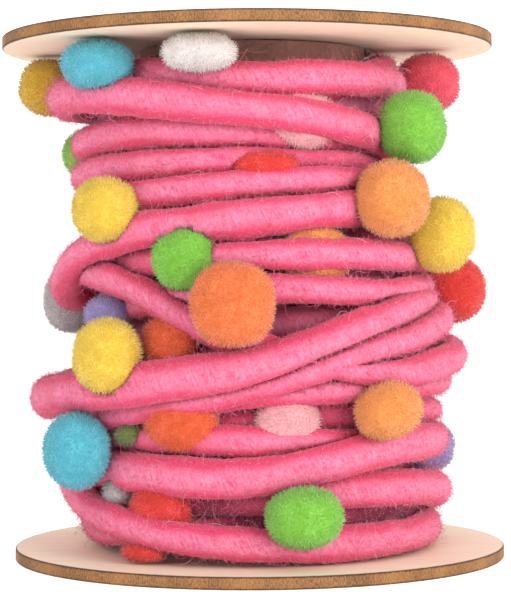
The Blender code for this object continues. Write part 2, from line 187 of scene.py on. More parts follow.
class RollSpoolSettings(bpy.types.PropertyGroup):
    """Plywood and cardboard of the spool."""
    face: colour("Plywood face", "Sanded birch of the discs' faces", (0.86, 0.725, 0.565))
    face_grain: colour("Plywood grain", "Darker lines of the birch's grain", (0.78, 0.60, 0.45))
    burn_light: colour("Burn light", "Lightest brown of the laser-cut edge", (0.37, 0.175, 0.065))
    burn_dark: colour("Burn dark", "Darkest brown of the laser-cut edge", (0.075, 0.040, 0.022))
    burn_reach: length("Burn reach", "How far the scorch runs in from the rim", 0.00035)
    card: colour("Cardboard", "Brown of the core", (0.25, 0.12, 0.095))
    card_light: colour("Cardboard fibres", "Lighter fibres in the cardboard", (0.36, 0.20, 0.16))
    curl: colour("Curls", "Pale wool of the loose loops on the core", (0.60, 0.40, 0.37))
    curls: number_of("Curls on the core", "Stray loops of wool left on the core", 170, 1, 2000)


class RollCordSettings(bpy.types.PropertyGroup):
    """Felted cord of the winding."""
    steps: number_of("Steps in a turn", "Sections of the cord in one turn", 216, 24, 480)
    sides: number_of("Sides", "Points round the cord's section", 16, 6, 32)
    slit: length("Slit", "Half the dark gap that is left between two turns that touch", 0.00001)
    lumps: length("Lumps", "How far the hand-felted cord wanders from an even thickness", 0.00046)
    light: colour("Light wool", "Pink of the fibres that catch the light", (0.765, 0.305, 0.430))
    middle: colour("Wool", "Pink of the cord as a whole", (0.70, 0.165, 0.280))
    deep: colour("Deep wool", "Crimson between the fibres", (0.56, 0.055, 0.135))
    # Painted shade: the flank colour darkens each turn towards its top and bottom, where less light falls,
    # and is also one end of the wisps' random tones; the crevice colour stands for the shade where two turns
    # are pressed together and the hollow colour for the shade on a turn that lies behind its neighbours.
    flank: colour("Flank", "Fuller pink towards the sides of a turn", (0.60, 0.032, 0.100))
    crevice_shade: colour("Crevice", "Shaded wool where two turns are pressed together", (0.31, 0.012, 0.046))
    hollow_shade: colour("Hollow", "Deep shade of a turn that lies behind its neighbours", (0.13, 0.010, 0.028))
    hair: colour("Stray fibres", "Pink of the hairs that stand off the cord", (0.84, 0.34, 0.46))
    fuzz_spacing: length("Fuzz spacing", "Least distance between two short fibres", 0.00047)
    fuzz_length: length("Fuzz length", "Longest short fibre", 0.0016)
    fuzz_width: length("Fuzz width", "Half width of a short fibre at its root", 0.000045)
    hair_spacing: length("Hair spacing", "Least distance between two long stray hairs", 0.0021)
    hair_length: length("Hair length", "Longest stray hair", 0.0045)
    hair_width: length("Hair width", "Half width of a stray hair at its root", 0.000036)
    wisp_spacing: length("Wisp spacing", "Least distance between two wisps where turns meet", 0.00120)
    wisp_length: length("Wisp length", "Longest wisp that bridges two turns", 0.0036)
    wisp_width: length("Wisp width", "Half width of a wisp at its root", 0.000036)


class RollPompomSettings(bpy.types.PropertyGroup):
    """Clipped pile of the pompoms."""
    core_share: FloatProperty(name="Core share", subtype="FACTOR", default=0.925, min=0.5, max=1.0,
                              description="Size of the ball under the pile, over the whole")
    spacing: length("Fibre spacing", "Least distance between two fibres of the pile", 0.00037)
    pile: length("Pile", "Length of a fibre of the pile", 0.00105)
    fibre_width: length("Fibre width", "Half width of a fibre at its root", 0.00011)
    lean: amount("Lean", "How far a fibre may lean from straight up", math.radians(32), math.radians(90),
                 subtype="ANGLE")


class RollStageSettings(bpy.types.PropertyGroup):
    """Floor and light."""
    floor: colour("Paper", "Pale paper of the floor and backdrop", (0.93, 0.93, 0.93))
    glow: amount("Paper glow", "How brightly the paper is lit from behind", 0.45, 2.0)
    sky: amount("Soft light", "Strength of the even light all round", 0.88, 5.0)
    key: amount("Key light", "Power of the large lamp at the front right", 4.7, 100.0, unit="POWER")
    fill: amount("Fill light", "Power of the large lamp at the front left", 2.4, 100.0, unit="POWER")


# Meshes and nodes

def linked(name, data):
    made = bpy.data.objects.new(name, data)
    bpy.context.scene.collection.objects.link(made)
    return made


def add_object(name, mesh, finish):
    """Links a mesh as a named object at the origin, shaded smooth, with one material."""
    mesh.materials.clear()
    mesh.materials.append(finish)
    mesh.shade_smooth()
    return linked(name, mesh)


def mesh_of(bm, name):
    mesh = bpy.data.meshes.new(name)
    bm.to_mesh(mesh)
    bm.free()
    return mesh


def hand_over(piece, slot_name, *nodes):
    """Rides the piece on the body and hides the solids that it stands for. Its slot name is not used."""
    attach(piece, BODY)
    if nodes:
        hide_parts(*nodes)


def add_node(tree, kind, inputs=None, **settings):
    """Adds a node. Each input is given by its name or number, as a value or as the socket to link."""
    node = tree.nodes.new(kind)
    for name, value in settings.items():
        setattr(node, name, value)
    for key, value in (inputs or {}).items():
        if isinstance(key, int):
            socket = node.inputs[key]
        else:
            socket = next(s for s in node.inputs if s.name == key and s.enabled)
        if isinstance(value, bpy.types.NodeSocket):
            tree.links.new(value, socket)
        else:
            socket.default_value = value
    return node


def maths(tree, operation, first, second=0.5, third=0.5):
    node = add_node(tree, "ShaderNodeMath", {0: first, 1: second, 2: third}, operation=operation)
    return node.outputs[0]


def weighed(tree, *rows):
    """Adds up values, each times its share."""
    total = None
    for value, share in rows:
        part = maths(tree, "MULTIPLY", value, share)
        total = part if total is None else maths(tree, "ADD", total, part)
    return total


def combined(tree, x, y, z=0.0):
    return add_node(tree, "ShaderNodeCombineXYZ", {0: x, 1: y, 2: z}).outputs[0]


def mixed(tree, share, first, second):
    """Mixes two colours, each a triple or a socket."""
    whole = [c if isinstance(c, bpy.types.NodeSocket) else (*c, 1.0) for c in (first, second)]
    node = add_node(tree, "ShaderNodeMix", {0: share, 6: whole[0], 7: whole[1]}, data_type="RGBA")
    return node.outputs[2]


def stretch(tree, value, low, high, to_low=0.0, to_high=1.0):
    """Maps a value from one span to another with soft ends."""
    inputs = {"Value": value, "From Min": low, "From Max": high, "To Min": to_low, "To Max": to_high}
    return add_node(tree, "ShaderNodeMapRange", inputs, interpolation_type="SMOOTHSTEP").outputs["Result"]


def noise_at(tree, place, scale, detail=2.0, roughness=0.5):
    inputs = {"Vector": place, "Scale": scale, "Detail": detail, "Roughness": roughness}
    return add_node(tree, "ShaderNodeTexNoise", inputs).outputs["Fac"]


def bumped(tree, height, strength, distance):
    inputs = {"Height": height, "Strength": strength, "Distance": distance}
    return add_node(tree, "ShaderNodeBump", inputs).outputs["Normal"]


def ramp(tree, value, *stops):
    """Colour ramp with a stop for each (place, colour)."""
    node = add_node(tree, "ShaderNodeValToRGB", {"Fac": value})
    band = node.color_ramp
    while len(band.elements) < len(stops):
        band.elements.new(0.5)
    for element, (place, shade) in zip(band.elements, stops):
        element.position = place
        element.color = (*shade, 1.0)
    return node.outputs["Color"]


def new_finish(name, roughness, sheen=0.0, sheen_roughness=0.5, sheen_tint=(1.0, 1.0, 1.0), specular=0.2):
    """A material whose Principled shader has its even values set, with its tree and shader."""
    finish = bpy.data.materials.new(name)
    finish.use_nodes = True
    tree = finish.node_tree
    shader = tree.nodes["Principled BSDF"]
    for title, value in (("Roughness", roughness), ("Specular IOR Level", specular), ("Sheen Weight", sheen),
                         ("Sheen Roughness", sheen_roughness), ("Sheen Tint", (*sheen_tint, 1.0))):
        shader.inputs[title].default_value = value
    return finish, tree, shader


def object_place(tree):
    return add_node(tree, "ShaderNodeTexCoord").outputs["Object"]


def attribute(tree, name):
    return add_node(tree, "ShaderNodeAttribute", attribute_name=name).outputs["Fac"]


# Finishes

def plywood(name, centre, radius, settings):
    """Birch ply: pale grain on the faces, and a rim browned by the laser with upright scorch lines."""
    finish, tree, shader = new_finish(name, roughness=0.7, specular=0.15)
    moved = add_node(tree, "ShaderNodeMapping", {"Vector": object_place(tree),
                                                 "Location": (-centre.x, -centre.y, -centre.z)})
    place = moved.outputs["Vector"]
    x, y, z = add_node(tree, "ShaderNodeSeparateXYZ", {0: place}).outputs
    along_grain = combined(tree, maths(tree, "MULTIPLY", x, 0.07), y, z)
    grain = noise_at(tree, along_grain, 900.0, detail=4.0, roughness=0.65)
    cloud = noise_at(tree, place, 45.0, detail=3.0)
    tone = weighed(tree, (grain, 0.6), (cloud, 0.4))
    face = mixed(tree, stretch(tree, tone, 0.42, 0.72), settings.face, settings.face_grain)

    out = maths(tree, "SQRT", weighed(tree, (x, x), (y, y)))
    round_rim = maths(tree, "MULTIPLY", maths(tree, "ARCTAN2", y, x), radius)
    rim_place = combined(tree, round_rim, maths(tree, "MULTIPLY", z, 0.4))
    lines = noise_at(tree, rim_place, 3600.0, detail=3.0, roughness=0.6)
    patches = noise_at(tree, rim_place, 90.0, detail=3.0, roughness=0.6)
    near_face = stretch(tree, maths(tree, "ABSOLUTE", z), 0.75 * MM, 1.25 * MM, 0.0, 0.34)
    scorch = maths(tree, "SUBTRACT", weighed(tree, (lines, 0.65), (patches, 0.50)), near_face)
    rim = mixed(tree, stretch(tree, scorch, 0.34, 0.74), settings.burn_dark, settings.burn_light)
    burnt = stretch(tree, out, radius - settings.burn_reach, radius - 0.1 * MM)
    shader.inputs["Base Color"].default_value = (*settings.face, 1.0)
    tree.links.new(mixed(tree, burnt, face, rim), shader.inputs["Base Color"])
    height = weighed(tree, (grain, 0.5), (lines, burnt))
    tree.links.new(bumped(tree, height, 0.5, 0.12 * MM), shader.inputs["Normal"])
    return finish


def cardboard(settings):
    """Kraft tube: short matted fibres and broad clouds of tone."""
    finish, tree, shader = new_finish("cardboard_core", roughness=0.9, specular=0.15)
    place = object_place(tree)
    fibres = noise_at(tree, place, 1400.0, detail=4.0, roughness=0.7)
    clouds = noise_at(tree, place, 160.0, detail=3.0)
    tone = stretch(tree, weighed(tree, (fibres, 0.7), (clouds, 0.3)), 0.45, 0.75)
    tree.links.new(mixed(tree, tone, settings.card, settings.card_light), shader.inputs["Base Color"])
    tree.links.new(bumped(tree, fibres, 0.5, 0.15 * MM), shader.inputs["Normal"])
    return finish


def wool(name, settings, painted_shade_share):
    """Felted roving: fibres wrapped round the cord and cloudy pinks, with painted shade towards the top and
    bottom of each turn, where two turns are pressed together and on turns that lie behind their neighbours;
    the wool's four pinks are darkened by the given share as painted shade.
    """
    finish, tree, shader = new_finish(name, roughness=0.92, sheen=0.22, sheen_roughness=0.6,
                                      sheen_tint=(1.0, 0.72, 0.84), specular=0.12)
    uv = add_node(tree, "ShaderNodeUVMap", uv_map=UV_NAME).outputs["UV"]
    along, round_cord, _ = add_node(tree, "ShaderNodeSeparateXYZ", {0: uv}).outputs
    wrapped = maths(tree, "MULTIPLY_ADD", round_cord, FIBRE_RUN, along)
    fine, broad = (combined(tree, maths(tree, "MULTIPLY", wrapped, a_metre),
                            maths(tree, "MULTIPLY", round_cord, a_round))
                   for a_metre, a_round in ((FIBRES_A_METRE, 9.0), (LOCKS_A_METRE, 7.0)))
    fibres = noise_at(tree, fine, 1.0, detail=4.0, roughness=0.7)
    locks = noise_at(tree, broad, 1.0, detail=3.0, roughness=0.6)
    place = object_place(tree)
    felt = noise_at(tree, place, 1500.0, detail=3.0, roughness=0.6)
    clouds = noise_at(tree, place, 130.0, detail=2.0)
    tone = weighed(tree, (fibres, 0.46), (locks, 0.16), (felt, 0.18), (clouds, 0.20))
    shades = (settings.deep, settings.middle, settings.light, settings.flank)
    # Painted shade: all four pinks are darkened by the given share, which the inner layer uses for the shade
    # it lies in beneath the outer turns.
    deep, middle, light, flank = (tuple(c * painted_shade_share for c in shade) for shade in shades)
    body = ramp(tree, tone, (0.38, deep), (0.49, middle), (0.60, light))
    # Painted shade: towards the top and bottom of each turn the colour goes over to the darker flank colour,
    # broken up by the clouds and fibres.
    painted_side_shade = maths(tree, "ADD", attribute(tree, "flank"), maths(tree, "MULTIPLY_ADD", clouds, 0.5, -0.25))
    painted_side_shade = maths(tree, "ADD", painted_side_shade, maths(tree, "MULTIPLY_ADD", fibres, 0.3, -0.15))
    body = mixed(tree, stretch(tree, painted_side_shade, -0.08, 0.36, 0.0, 0.96), body, flank)
    # Painted shade: pressed joins take the crevice colour, and a turn set back behind its neighbours takes
    # the flank colour and then the hollow colour.
    pressed = stretch(tree, attribute(tree, "squeeze"), 0.12, 0.40)
    recess = attribute(tree, "recess")
    body = mixed(tree, stretch(tree, recess, 0.2 * MM, 2.8 * MM, 0.0, 0.55), body, flank)
    behind = stretch(tree, recess, 1.8 * MM, 5.5 * MM, 0.0, 0.92)
    body = mixed(tree, pressed, body, settings.crevice_shade)
    tree.links.new(mixed(tree, behind, body, settings.hollow_shade), shader.inputs["Base Color"])
    height = weighed(tree, (fibres, 0.6), (felt, 0.4))
    tree.links.new(bumped(tree, height, 0.6, 0.25 * MM), shader.inputs["Normal"])
    return finish


def stray_wool(name, darkest, lightest):
    """Single fibres that stand off on their own, each in a shade of its own."""
    finish, tree, shader = new_finish(name, roughness=0.85, sheen=0.1, specular=0.1)
    tree.links.new(mixed(tree, attribute(tree, "tuft"), darkest, lightest), shader.inputs["Base Color"])
    return finish


def yarn_pile(slot_name):
    """Clipped yarn: painted shade makes it darker and more saturated between the fibres and on the ball
    beneath, painted light makes it paler at the fibres' tips, and a slight random mottle runs through it.
    """
    base = SLOT_COLOURS[slot_name]
    finish, tree, shader = new_finish("pile_" + slot_name, roughness=0.9, sheen=0.35, sheen_roughness=0.4,
                                      specular=0.1)
    # Painted shade and painted light: the roots and the ball beneath are darkened for the shade between the
    # fibres, the tips made paler for the light they catch.
    shaded_root = tuple(c * 0.74 + 0.012 for c in base)
    lit_tip = tuple(min(1.0, c * 1.08 + 0.12) for c in base)
    place = object_place(tree)
    mottled = noise_at(tree, place, 420.0, detail=3.0, roughness=0.6)
    fine = noise_at(tree, place, 2100.0, detail=2.0)
    # The tip attribute carries this painted shading from root to tip; tuft and the two noises vary the tone
    # at random.
    lift = maths(tree, "ADD", maths(tree, "MULTIPLY", attribute(tree, "tip"), 0.45),
                 maths(tree, "MULTIPLY_ADD", attribute(tree, "tuft"), 0.42, -0.08))
    lift = maths(tree, "ADD", lift, stretch(tree, mottled, 0.36, 0.64, -0.14, 0.18))
    lift = maths(tree, "ADD", lift, stretch(tree, fine, 0.38, 0.62, -0.10, 0.20))
    tree.links.new(mixed(tree, lift, shaded_root, lit_tip), shader.inputs["Base Color"])
    tree.links.new(bumped(tree, fine, 0.7, 0.3 * MM), shader.inputs["Normal"])
    return finish


# Path and section of the cord

def smooth(knots, values, at):
    """Cubic through the values, with slopes taken from each knot's neighbours."""
    knots = np.asarray(knots, float)
    values = np.asarray(values, float)
    slopes = np.gradient(values, knots)
    i = np.clip(np.searchsorted(knots, at, side="right") - 1, 0, len(knots) - 2)
    span = knots[i + 1] - knots[i]
    t = (at - knots[i]) / span
    rise = values[i + 1] - values[i]
    first = slopes[i] * span
    last = slopes[i + 1] * span
    return values[i] + t * (first + t * ((3 * rise - 2 * first - last) + t * (first + last - 2 * rise)))


def along_turns(start, bearings, at):
    """A smooth length along the cord, from its start and each turn's own values at the bearings."""
    knots, values = [-180.0], [start]
    for number, turn in enumerate(TURNS):
        for field, bearing in bearings.items():
            knots.append(360.0 * number + bearing)
            values.append(getattr(turn, field))
    return smooth(knots, values, at) * MM


def turn_height(at):
    """Height of the cord's middle at an angle counted on from turn to turn."""
    return along_turns(START_HEIGHT, HEIGHT_BEARINGS, at)


def turn_reach(at):
    """Distance from the axis to the cord's outer side at the same angle."""
    return along_turns(START_REACH, REACH_BEARINGS, at)


def turn_thickness(at):
    """Thickness of the cord, each turn's own at the front and eased into the next one's at the back."""
    knots, values = [], []
    for number, turn in enumerate(TURNS):
        for bearing in (-OWN_THICKNESS, OWN_THICKNESS):
            knots.append(360.0 * number + bearing)
            values.append(turn.thick)
    return np.interp(at, knots, values) * MM


def wander(at, period, lane):
    """Smooth waver of about -1 to 1 along the cord, repeating nowhere, one lane for each use."""
    return np.array([noise.noise(Vector((a / period, lane, 0.5))) for a in at.ravel()]).reshape(at.shape)


def squeezed(across, up, half, angles, slit):
    """How far each section reaches in each direction before a neighbour stops it.

    With the depths stretched to match the heights the sections are circles, and two circles that
    overlap meet on a straight line. Each keeps to its own side, a slit short of that line.
    """
    turns = len(half)
    cosine, sine = np.cos(angles), np.sin(angles)
    total = np.repeat(half[:, :, None] ** -CORNER_POWER, len(angles), axis=2)
    for own in range(turns):
        for other in range(turns):
            if own == other:
                continue
            dx = across[other] - across[own]
            dy = up[other] - up[own]
            apart = np.hypot(dx, dy)
            overlap = half[own] + half[other] - apart
            if overlap.max() <= TOUCH_FROM:
                continue
            line = (apart ** 2 + half[own] ** 2 - half[other] ** 2) / (2 * apart)
            line = np.maximum(line - slit * np.clip(overlap / MM, 0, 1), SQUASHED * half[own])
            towards = (dx[:, None] * cosine + dy[:, None] * sine) / apart[:, None]
            limit = np.where(towards > GRAZING, line[:, None] / np.maximum(towards, GRAZING), np.inf)
            touch = np.clip((overlap - TOUCH_FROM) / (TOUCH_FULL - TOUCH_FROM), 0, 1)
            total[own] += touch[:, None] * limit ** -CORNER_POWER
    return total ** (-1 / CORNER_POWER)


def recessed(up, outer):
    """How far each section lies behind the turns that stand out both above and below it."""
    lift = up[None] - up[:, None]
    from_level = np.clip(np.abs(lift) / RECESS_FADE, 0, 1)
    from_end = np.clip((RECESS_SPAN - np.abs(lift)) / RECESS_FADE, 0, 1)
    beyond = (outer[None] - outer[:, None]) * from_level * from_end
    above = np.where(lift > 0, beyond, 0).max(axis=1)
    below = np.where(lift < 0, beyond, 0).max(axis=1)
    return np.minimum(above, below)


def polar_points(bearings, radii, heights):
    """Points from bearings in degrees, radii and heights, as an array with x, y and z last."""
    turned = np.radians(np.broadcast_to(bearings, radii.shape))
    return np.stack((radii * np.sin(turned), -radii * np.cos(turned), heights), axis=-1)


def tube_mesh(name, points, angles, squeeze, recess):
    """Closes rings of points into one tube with rounded ends.

    Its UV map holds metres along the cord and the share of the way round it, from its inner side. The
    attribute flank goes from 0 on its outer side to 1 above and below, squeeze tells how far it is pressed
    and recess how far it lies behind its neighbours, in metres.
    """
    rings, sides, _ = points.shape
    middles = points.mean(axis=1)
    steps = np.linalg.norm(np.diff(middles, axis=0), axis=1)
    along = np.concatenate(([0.0], np.cumsum(steps)))
    from_end = np.minimum(along, along[-1] - along)
    taper = np.sqrt(np.clip(1 - (1 - np.clip(from_end / END_TAPER, 0, 1)) ** 2, 0.02, 1))
    points = middles[:, None] + (points - middles[:, None]) * taper[:, None, None]

    ring, side = np.meshgrid(np.arange(rings - 1), np.arange(sides), indexing="ij")
    following = (side + 1) % sides
    quads = np.stack((ring * sides + side, (ring + 1) * sides + side,
                      (ring + 1) * sides + following, ring * sides + following), axis=-1).reshape(-1, 4)
    first_cap = tuple(range(sides))
    last_cap = tuple((rings - 1) * sides + i for i in reversed(range(sides)))
    mesh = bpy.data.meshes.new(name)
    mesh.from_pydata(points.reshape(-1, 3), [], [*quads.tolist(), first_cap, last_cap])

    share = np.stack((side, side, side + 1, side + 1), axis=-1) / sides
    reach = np.stack((along[ring], along[ring + 1], along[ring + 1], along[ring]), axis=-1)
    uv = np.zeros((len(mesh.loops), 2), np.float32)
    uv[:quads.size] = np.stack((reach, share), axis=-1).reshape(-1, 2)
    layer = mesh.uv_layers.new(name=UV_NAME)
    layer.data.foreach_set("uv", uv.ravel())
    flank = np.broadcast_to(1 - np.clip(np.cos(angles), 0, 1), squeeze.shape)
    recess = np.broadcast_to(np.asarray(recess).reshape(-1, 1), (rings, sides))
    for title, values in (("squeeze", squeeze), ("flank", flank), ("recess", recess)):
        data = mesh.attributes.new(title, "FLOAT", "POINT").data
        data.foreach_set("value", values.astype(np.float32).ravel())
    return mesh


# Pompoms as the frame has them

Ball = namedtuple("Ball", "node place axes half")


def frame_ball(node):
    """A pompom's place, its own axes (across, inward, up) and its half sizes, read from its solid."""
    low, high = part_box(node)
    place = np.array((low + high) / 2)
    bearing = math.atan2(place[0], -place[1])
    turned = Matrix.Rotation(bearing, 3, "Z") @ Matrix.Rotation(math.radians(SLANTS.get(node, 0.0)), 3, "Y")
    axes = np.array(turned)
    corners = np.array([v.co for v in frame["nodes"][node].data.vertices])
    half = np.abs((corners - place) @ axes).max(axis=0)
    return Ball(node, place, axes, half)


BALLS = [frame_ball(node) for node in sorted(frame["nodes"]) if node.startswith("pompom_")]


def inside(ball, points, extra):
    """Which of the points lie inside a ball grown by extra all round."""
    own = (points - ball.place) @ ball.axes / (ball.half + extra)
    return (np.abs(own) ** FULLNESS).sum(axis=-1) < 1


def press_in(points, ball, extra):
    """Moves the points that a ball covers straight towards the axis until they are on its inner side."""
    held = inside(ball, points, extra)
    if not held.any():
        return
    covered = points[held]
    radius = np.hypot(covered[:, 0], covered[:, 1])
    inward = -covered * (1, 1, 0) / radius[:, None]
    near = np.zeros(len(radius))
    far = np.full(len(radius), 3 * ball.half.max())
    for _ in range(HALVINGS):
        halfway = (near + far) / 2
        still = inside(ball, covered + inward * halfway[:, None], extra)
        near = np.where(still, halfway, near)
        far = np.where(still, far, halfway)
    points[held] = covered + inward * np.minimum(far, radius - CORE_RADIUS - DISC_CLEARANCE)[:, None]


def keep_in_spool(points):
    """Keeps points off the core and between the discs."""
    radius = np.hypot(points[..., 0], points[..., 1])
    grown = np.maximum(radius, CORE_RADIUS + DISC_CLEARANCE) / radius
    points[..., :2] *= grown[..., None]
    points[..., 2] = np.clip(points[..., 2], FLOOR, CEILING)


def lay_on_spool(mesh):
    """Lays the fibres that meet a disc or the core flat along it."""
    points = np.empty(3 * len(mesh.vertices), np.float32)
    mesh.vertices.foreach_get("co", points)
    keep_in_spool(points.reshape(-1, 3))
    mesh.vertices.foreach_set("co", points)
    mesh.update()


# Fibres by Geometry Nodes

FIBRE_INPUTS = {"Surface": "Geometry", "Spacing": "Float", "Most": "Float", "Width": "Float", "Lean": "Float",
                "Seed": "Int", "Finish": "Material"}


def new_tree(title, **own_inputs):
    """A node tree with the inputs that all fibres take and its own, with their identifiers and sockets."""
    tree = bpy.data.node_groups.new(title, "GeometryNodeTree")
    tree.interface.new_socket("Geometry", in_out="OUTPUT", socket_type="NodeSocketGeometry")
    names = {}
    for name, kind in {**FIBRE_INPUTS, **own_inputs}.items():
        socket = tree.interface.new_socket(name, in_out="INPUT", socket_type="NodeSocket" + kind)
        names[name] = socket.identifier
    return tree, names, add_node(tree, "NodeGroupInput").outputs


def close_tree(tree, geometry, given):
    """Gives what has grown its material and hands it out."""
    painted = add_node(tree, "GeometryNodeSetMaterial", {"Geometry": geometry, "Material": given["Finish"]})
    add_node(tree, "NodeGroupOutput", {0: painted.outputs[0]})


def random_between(tree, low, high, seed, kind="FLOAT_VECTOR"):
    """Random vector or float for each point."""
    node = add_node(tree, "FunctionNodeRandomValue", {"Min": low, "Max": high, "Seed": seed}, data_type=kind)
    return next(socket for socket in node.outputs if socket.enabled)


def scattered(tree, given, shape, low_scale, high_scale):
    """Stands copies of a shape on the given surface, each leaning and sized its own way, made real."""
    points = add_node(tree, "GeometryNodeDistributePointsOnFaces", {
        "Mesh": given["Surface"], "Distance Min": given["Spacing"], "Density Max": given["Most"],
        "Seed": given["Seed"]}, distribute_method="POISSON")
    back = maths(tree, "MULTIPLY", given["Lean"], -1.0)
    least = combined(tree, back, back)
    most = combined(tree, given["Lean"], given["Lean"], math.tau)
    lean = random_between(tree, least, most, given["Seed"])
    turned = add_node(tree, "FunctionNodeRotateRotation", {
        "Rotation": points.outputs["Rotation"],
        "Rotate By": add_node(tree, "FunctionNodeEulerToRotation", {0: lean}).outputs[0]},
        rotation_space="LOCAL")
    size = random_between(tree, low_scale, high_scale, given["Seed"])
    copies = add_node(tree, "GeometryNodeInstanceOnPoints", {
        "Points": points.outputs["Points"], "Instance": shape, "Rotation": turned.outputs[0], "Scale": size})
    tuft = random_between(tree, 0.0, 1.0, given["Seed"], "FLOAT")
    marked = add_node(tree, "GeometryNodeStoreNamedAttribute", {
        "Geometry": copies.outputs[0], "Name": "tuft", "Value": tuft}, data_type="FLOAT", domain="INSTANCE")
    return add_node(tree, "GeometryNodeRealizeInstances", {0: marked.outputs[0]}).outputs[0]


def strand(tree, path, width, caps):
    """A three-sided strand along a path."""
    section = add_node(tree, "GeometryNodeCurvePrimitiveCircle", {"Resolution": 3, "Radius": width})
    swept = add_node(tree, "GeometryNodeCurveToMesh", {
        "Curve": path, "Profile Curve": section.outputs[0], "Fill Caps": caps})
    return swept.outputs[0]


def fibre_tree():
    """Short tapered fibres all over a surface."""
    tree, names, given = new_tree("Short fibres", Length="Float", Keep="Bool")
    cone = add_node(tree, "GeometryNodeMeshCone", {
        "Vertices": 3, "Radius Top": 0.0, "Radius Bottom": given["Width"], "Depth": given["Length"]},
        fill_type="NONE")
    place = add_node(tree, "GeometryNodeInputPosition").outputs[0]
    rise = add_node(tree, "ShaderNodeSeparateXYZ", {0: place}).outputs[2]
    fibre = add_node(tree, "GeometryNodeStoreNamedAttribute", {
        "Geometry": cone.outputs["Mesh"], "Name": "tip",
        "Value": maths(tree, "DIVIDE", rise, given["Length"])}, data_type="FLOAT", domain="POINT")
    grown = scattered(tree, given, fibre.outputs[0], (1.0, 1.0, 0.55), (1.0, 1.0, 1.10))
    kept = add_node(tree, "GeometryNodeSwitch", {"Switch": given["Keep"], "True": given["Surface"]},
                    input_type="GEOMETRY")
    joined = add_node(tree, "GeometryNodeJoinGeometry")
    tree.links.new(grown, joined.inputs[0])
    tree.links.new(kept.outputs[0], joined.inputs[0])
    close_tree(tree, joined.outputs[0], given)
    return tree, names


def hair_tree():
    """Long single hairs on a surface, each bent over in an arc and tapered."""
    tree, names, given = new_tree("Long hairs", Length="Float")
    low, middle, far = (maths(tree, "MULTIPLY", given["Length"], share) for share in (0.30, 0.50, 0.85))
    arc = add_node(tree, "GeometryNodeCurveQuadraticBezier", {
        "Resolution": 4, "Start": (0.0, 0.0, 0.0), "Middle": combined(tree, low, 0.0, middle),
        "End": combined(tree, far, 0.0, low)})
    share = add_node(tree, "GeometryNodeSplineParameter").outputs["Factor"]
    tapered = add_node(tree, "GeometryNodeSetCurveRadius", {
        "Curve": arc.outputs[0], "Radius": maths(tree, "MULTIPLY_ADD", share, -0.85, 1.0)})
    hair = strand(tree, tapered.outputs[0], given["Width"], False)
    close_tree(tree, scattered(tree, given, hair, (0.5, 0.6, 0.3), (1.1, 1.2, 1.1)), given)
    return tree, names


def curl_tree():
    """Loose loops of single fibres on a surface."""
    tree, names, given = new_tree("Stray curls")
    spiral = add_node(tree, "GeometryNodeCurveSpiral", {
        "Resolution": 14, "Rotations": 0.8, "Start Radius": 0.5 * MM, "End Radius": 2.2 * MM,
        "Height": 1.1 * MM})
    curl = strand(tree, spiral.outputs[0], given["Width"], True)
    close_tree(tree, scattered(tree, given, curl, (0.4, 0.5, 0.4), (1.3, 1.4, 1.4)), given)
    return tree, names


def grow(piece, tree, names, values):
    """Runs a node tree on a piece and leaves the result as its plain mesh."""
    modifier = piece.modifiers.new("fibres", "NODES")
    modifier.node_group = tree
    for name, value in values.items():
        modifier[names[name]] = value
    graph = bpy.context.evaluated_depsgraph_get()
    made = bpy.data.meshes.new_from_object(piece.evaluated_get(graph), preserve_all_data_layers=True,
                                           depsgraph=graph)
    made.name = piece.name
    piece.modifiers.remove(modifier)
    surface = piece.data
    piece.data = made
    bpy.data.meshes.remove(surface)
    if not len(made.polygons):
        raise RuntimeError(f"no fibres grew on {piece.name}")
    lay_on_spool(made)
    made.shade_smooth()


# Operators, one for each piece or group of like pieces

class ROLL_OT_spool(bpy.types.Operator):
    """Gives the discs their plywood and the core its cardboard"""
    bl_idname = "roll.spool"
    bl_label = "Spool"

    def execute(self, context):
        settings = context.scene.roll_spool
        for node, (low, high) in DISCS.items():
            finish = plywood("plywood_" + node, (low + high) / 2, (high.x - low.x) / 2, settings)
            frame["nodes"][node].material_slots[0].material = finish
        frame["nodes"]["core"].material_slots[0].material = cardboard(settings)
        return {"FINISHED"}


class ROLL_OT_cord(bpy.types.Operator):
    """Winds the outer turns of the cord, squeezed by each other and pressed in by the pompoms"""
    bl_idname = "roll.cord"
    bl_label = "Cord"

    def execute(self, context):
        settings = context.scene.roll_cord
        bearings = np.linspace(-180.0, 180.0, settings.steps, endpoint=False)
        at = 360.0 * np.arange(len(TURNS))[:, None] + bearings[None, :]
        half = turn_thickness(at) / 2 + settings.lumps * (wander(at, 17.0, 1.0) + 0.5 * wander(at, 5.0, 4.0))
        up = turn_height(at) + settings.lumps * wander(at, 29.0, 2.0)
        out = turn_reach(at) - half * CORD_FLATTENING + settings.lumps * wander(at, 23.0, 3.0)
        angles = math.pi + math.tau * np.arange(settings.sides) / settings.sides
        reach = squeezed(out / CORD_FLATTENING, up, half, angles, settings.slit)
        squeeze = 1 - reach / half[:, :, None]

        radii = out[:, :, None] + CORD_FLATTENING * reach * np.cos(angles)
        heights = up[:, :, None] + reach * np.sin(angles)
        points = polar_points(bearings[None, :, None], radii, heights)
        points = points.reshape(-1, settings.sides, 3)
        flat = points.reshape(-1, 3)
        turn_names = np.repeat(ALL_TURNS, settings.steps * settings.sides)
        for ball in BALLS:
            pressed = ~np.isin(turn_names, OVER.get(ball.node, ()))
            moved = flat[pressed]
            press_in(moved, ball, -SEAT_DEPTH)
            flat[pressed] = moved
        keep_in_spool(flat)
        finish = wool("wool", settings, 1.0)
        recess = recessed(up, out + half * CORD_FLATTENING)
        piece = add_object("cord", tube_mesh("cord", points, angles, squeeze, recess), finish)
        hand_over(piece, "cord", "winding")
        return {"FINISHED"}


